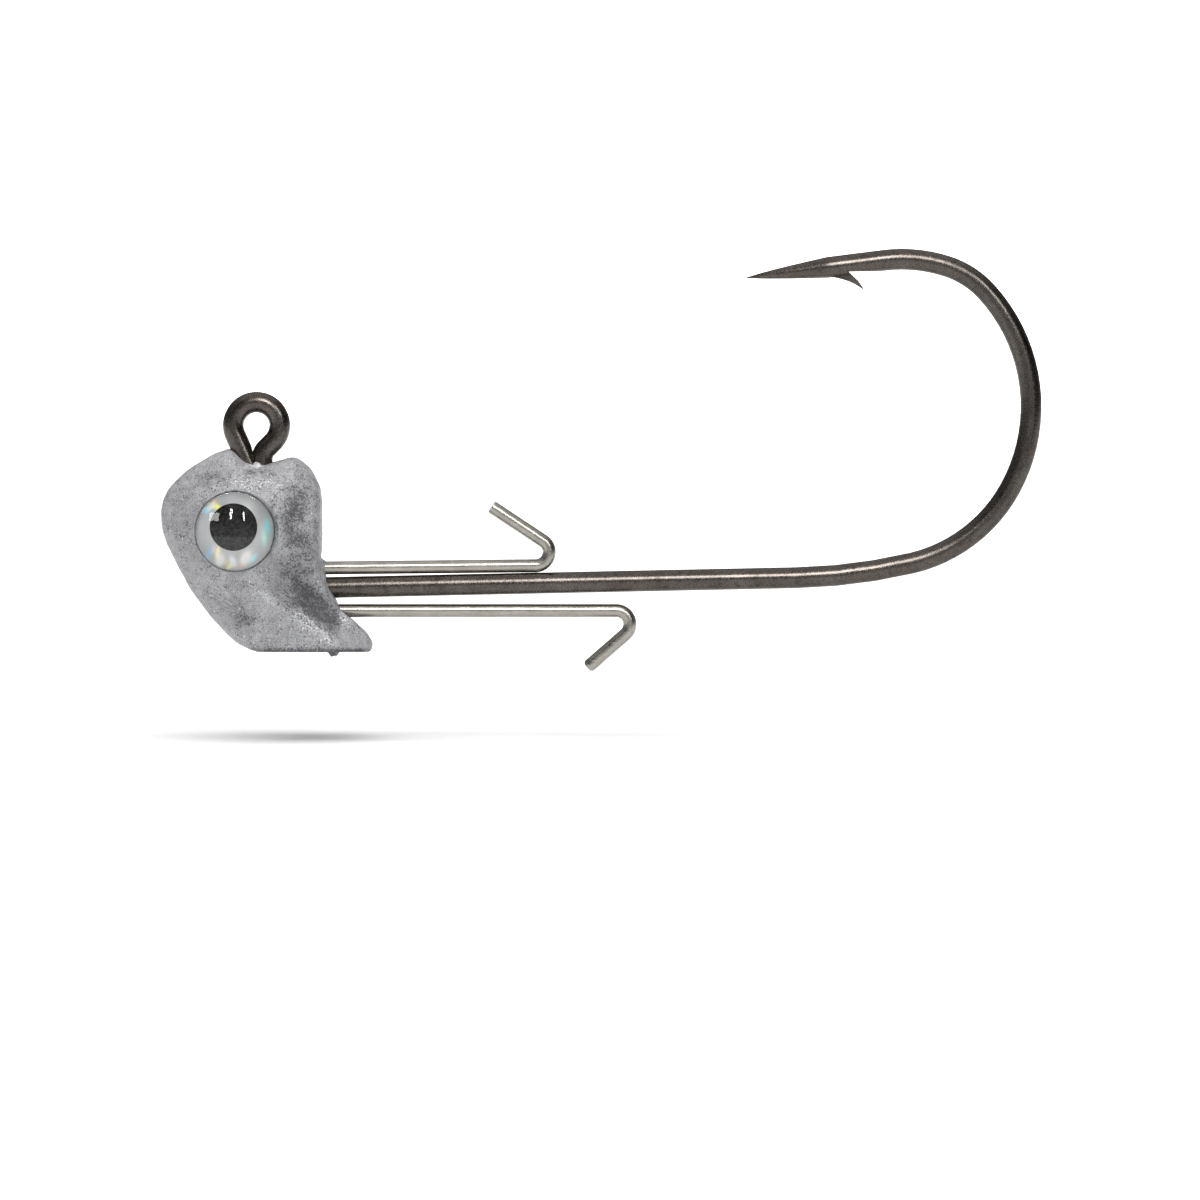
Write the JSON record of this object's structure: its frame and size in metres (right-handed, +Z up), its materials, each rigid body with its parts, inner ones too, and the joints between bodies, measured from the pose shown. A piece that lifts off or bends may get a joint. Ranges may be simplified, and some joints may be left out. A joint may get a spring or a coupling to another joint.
{
  "type": "jig head",
  "caption": "Fishing jig head: a lead fish-head casting with domed eyes on a wide-gap hook with an upright line tie, and barbed wires that hold a soft bait.",
  "frame": {"origin": "centre of the line tie, the ring at the top of the hook that the fishing line is tied to", "axes": "+Z up, the way the line leaves; +X from the snout towards the hook's bend; +Y towards the fish's left eye, square to the plane of the hook"},
  "size_m": [0.0563, 0.0072, 0.027],
  "materials": {
    "cast_lead": "bare lead as cast, dull grey and mottled",
    "black_nickel": "smooth black nickel plate",
    "stainless_wire": "bright drawn spring wire",
    "adhesive": "white foam adhesive",
    "eye_foil": "silver holographic foil",
    "pupil_ink": "printed black ink",
    "eye_resin": "clear domed resin"
  },
  "bodies": {
    "root": {"head_casting": "cast_lead", "jig_hook": "black_nickel", "upper_keeper_wire": "stainless_wire", "lower_keeper_wire": "stainless_wire", "left_eye_adhesive_pad": "adhesive", "right_eye_adhesive_pad": "adhesive", "left_eye_foil": "eye_foil", "right_eye_foil": "eye_foil", "left_eye_pupil": "pupil_ink", "right_eye_pupil": "pupil_ink", "left_eye_dome": "eye_resin", "right_eye_dome": "eye_resin"}
  },
  "joints": []
}
